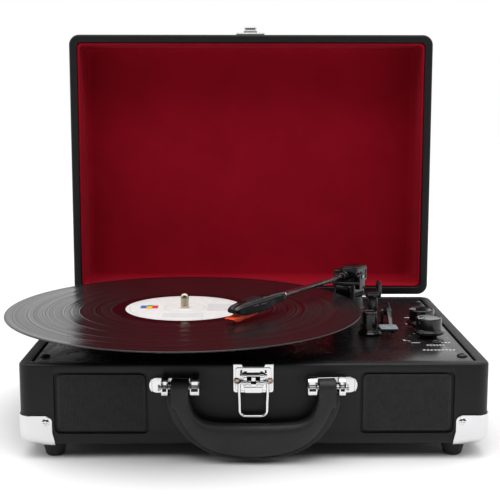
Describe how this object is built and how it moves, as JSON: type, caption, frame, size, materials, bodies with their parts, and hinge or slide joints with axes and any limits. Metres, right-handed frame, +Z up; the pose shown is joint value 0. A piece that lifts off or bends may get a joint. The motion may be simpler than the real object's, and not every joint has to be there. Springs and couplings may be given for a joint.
{
  "type": "suitcase record player",
  "caption": "Portable suitcase record player, lid open, with a record on the platter, a lowered tonearm, two front speakers, a carry handle and a draw latch.",
  "frame": {"origin": "middle of the flat underside of the case; the feet reach 12 mm below it", "axes": "+X to the right and +Y to the back, seen from the side with the speakers and the handle; +Z up"},
  "size_m": [0.3886, 0.3634, 0.3424],
  "materials": {
    "leatherette": "fine grain black leatherette, satin",
    "black_plastic": "satin black",
    "black_gloss": "gloss black",
    "grille_cloth": "ribbed black speaker cloth",
    "chrome": "bright nickel chrome",
    "steel": "plain steel",
    "aluminium": "polished tube",
    "brass": "turned",
    "rubber": "matt black",
    "vinyl": "grooved gloss black",
    "velvet": "red flocked lining",
    "red_plastic": "orange-red",
    "grey_plastic": "grey",
    "board": "green circuit board"
  },
  "bodies": {
    "case": {"case_shell": "leatherette", "bottom_panel": "black_plastic", "deck_plate": "black_plastic", "foot_front_left": "rubber", "foot_front_right": "rubber", "foot_back_left": "rubber", "foot_back_right": "rubber", "corner_guard_front_left": "chrome", "corner_guard_front_right": "chrome", "corner_guard_back_left": "chrome", "corner_guard_back_right": "chrome", "deck_screw_front_left": "black_gloss", "deck_screw_front_right": "black_gloss", "deck_screw_back_left": "black_gloss", "deck_screw_back_right": "black_gloss", "grille_left": "grille_cloth", "grille_right": "grille_cloth", "speaker_left": "rubber", "speaker_right": "rubber", "handle_bracket_left": "chrome", "handle_bracket_right": "chrome", "handle_pin_left": "steel", "handle_pin_right": "steel", "motor": "steel", "drive_belt": "rubber", "circuit_board": "board", "control_board": "board", "rear_sockets": "black_plastic", "headphone_jack": "black_gloss", "latch_plate": "chrome", "tonearm_base": "black_plastic", "arm_rest": "black_gloss", "cue_damper": "black_gloss", "hinge_leaf_case_left": "steel", "hinge_leaf_case_right": "steel"},
    "turntable": {"platter": "black_plastic", "slip_mat": "rubber", "spindle": "brass", "record": "vinyl"},
    "pulley": {"motor_pulley": "brass"},
    "yoke": {"arm_yoke": "black_gloss", "arm_axle": "steel"},
    "tonearm": {"arm_rear_block": "black_gloss", "arm_tube": "aluminium", "headshell": "black_plastic", "cartridge": "red_plastic"},
    "cue": {"cue_lever": "grey_plastic"},
    "lifter": {"lift_bar": "black_plastic"},
    "volume": {"volume_knob": "black_gloss"},
    "function": {"function_knob": "black_gloss"},
    "speed": {"speed_switch": "black_plastic"},
    "auto_stop": {"auto_stop_switch": "black_plastic"},
    "handle": {"carry_handle": "leatherette"},
    "latch": {"latch_lever": "chrome"},
    "bail": {"latch_bail": "chrome"},
    "lid": {"lid_shell": "leatherette", "lid_lining": "velvet", "lid_catch": "chrome", "hinge_leaf_lid_left": "steel", "hinge_leaf_lid_right": "steel"}
  },
  "joints": [
    {"name": "platter_spin", "type": "hinge", "parent": "case", "child": "turntable", "pos_m": [-0.0583, -0.019, 0.07], "axis": [0, 0, -1], "continuous": true},
    {"name": "pulley_spin", "type": "hinge", "parent": "case", "child": "pulley", "pos_m": [-0.14, 0.062, 0.066], "axis": [0, 0, -1], "continuous": true},
    {"name": "arm_swing", "type": "hinge", "parent": "case", "child": "yoke", "pos_m": [0.091, 0.068, 0.08], "axis": [0, 0, 1], "range_deg": [-7, 46]},
    {"name": "arm_lift", "type": "hinge", "parent": "yoke", "child": "tonearm", "pos_m": [0.091, 0.068, 0.096], "axis": [-0.829, 0.5592, 0], "range_deg": [0, 3.5]},
    {"name": "cue_lift", "type": "hinge", "parent": "case", "child": "cue", "pos_m": [0.1165, -0.004, 0.076], "axis": [-1, 0, 0], "range_deg": [0, 25]},
    {"name": "lifter_rise", "type": "slide", "parent": "case", "child": "lifter", "axis": [0, 0, 1], "range_m": [0, 0.0015]},
    {"name": "volume_turn", "type": "hinge", "parent": "case", "child": "volume", "pos_m": [0.1476, -0.0395, 0.07], "axis": [0, 0, -1], "range_deg": [0, 280]},
    {"name": "function_turn", "type": "hinge", "parent": "case", "child": "function", "pos_m": [0.1476, -0.006, 0.07], "axis": [0, 0, -1], "range_deg": [-30, 30]},
    {"name": "speed_slide", "type": "slide", "parent": "case", "child": "speed", "axis": [1, 0, 0], "range_m": [-0.004, 0.004]},
    {"name": "auto_stop_slide", "type": "slide", "parent": "case", "child": "auto_stop", "axis": [1, 0, 0], "range_m": [-0.004, 0.004]},
    {"name": "handle_swing", "type": "hinge", "parent": "case", "child": "handle", "pos_m": [-0.0008, -0.1375, 0.0472], "axis": [-1, 0, 0], "range_deg": [0, 90]},
    {"name": "latch_turn", "type": "hinge", "parent": "case", "child": "latch", "pos_m": [-0.0008, -0.1338, 0.0555], "axis": [-1, 0, 0], "range_deg": [0, 45]},
    {"name": "bail_swing", "type": "hinge", "parent": "latch", "child": "bail", "pos_m": [-0.0008, -0.1338, 0.05], "axis": [-1, 0, 0], "range_deg": [0, 90]},
    {"name": "lid_hinge", "type": "hinge", "parent": "case", "child": "lid", "pos_m": [0, 0.1314, 0.0618], "axis": [1, 0, 0], "range_deg": [0, 44]}
  ],
  "couplings": [
    {"joint": "pulley_spin", "follows": "platter_spin", "ratio": 9.5238},
    {"joint": "arm_lift", "follows": "cue_lift", "ratio": 0.14},
    {"joint": "lifter_rise", "follows": "cue_lift", "m_per_rad": 0.00344}
  ]
}
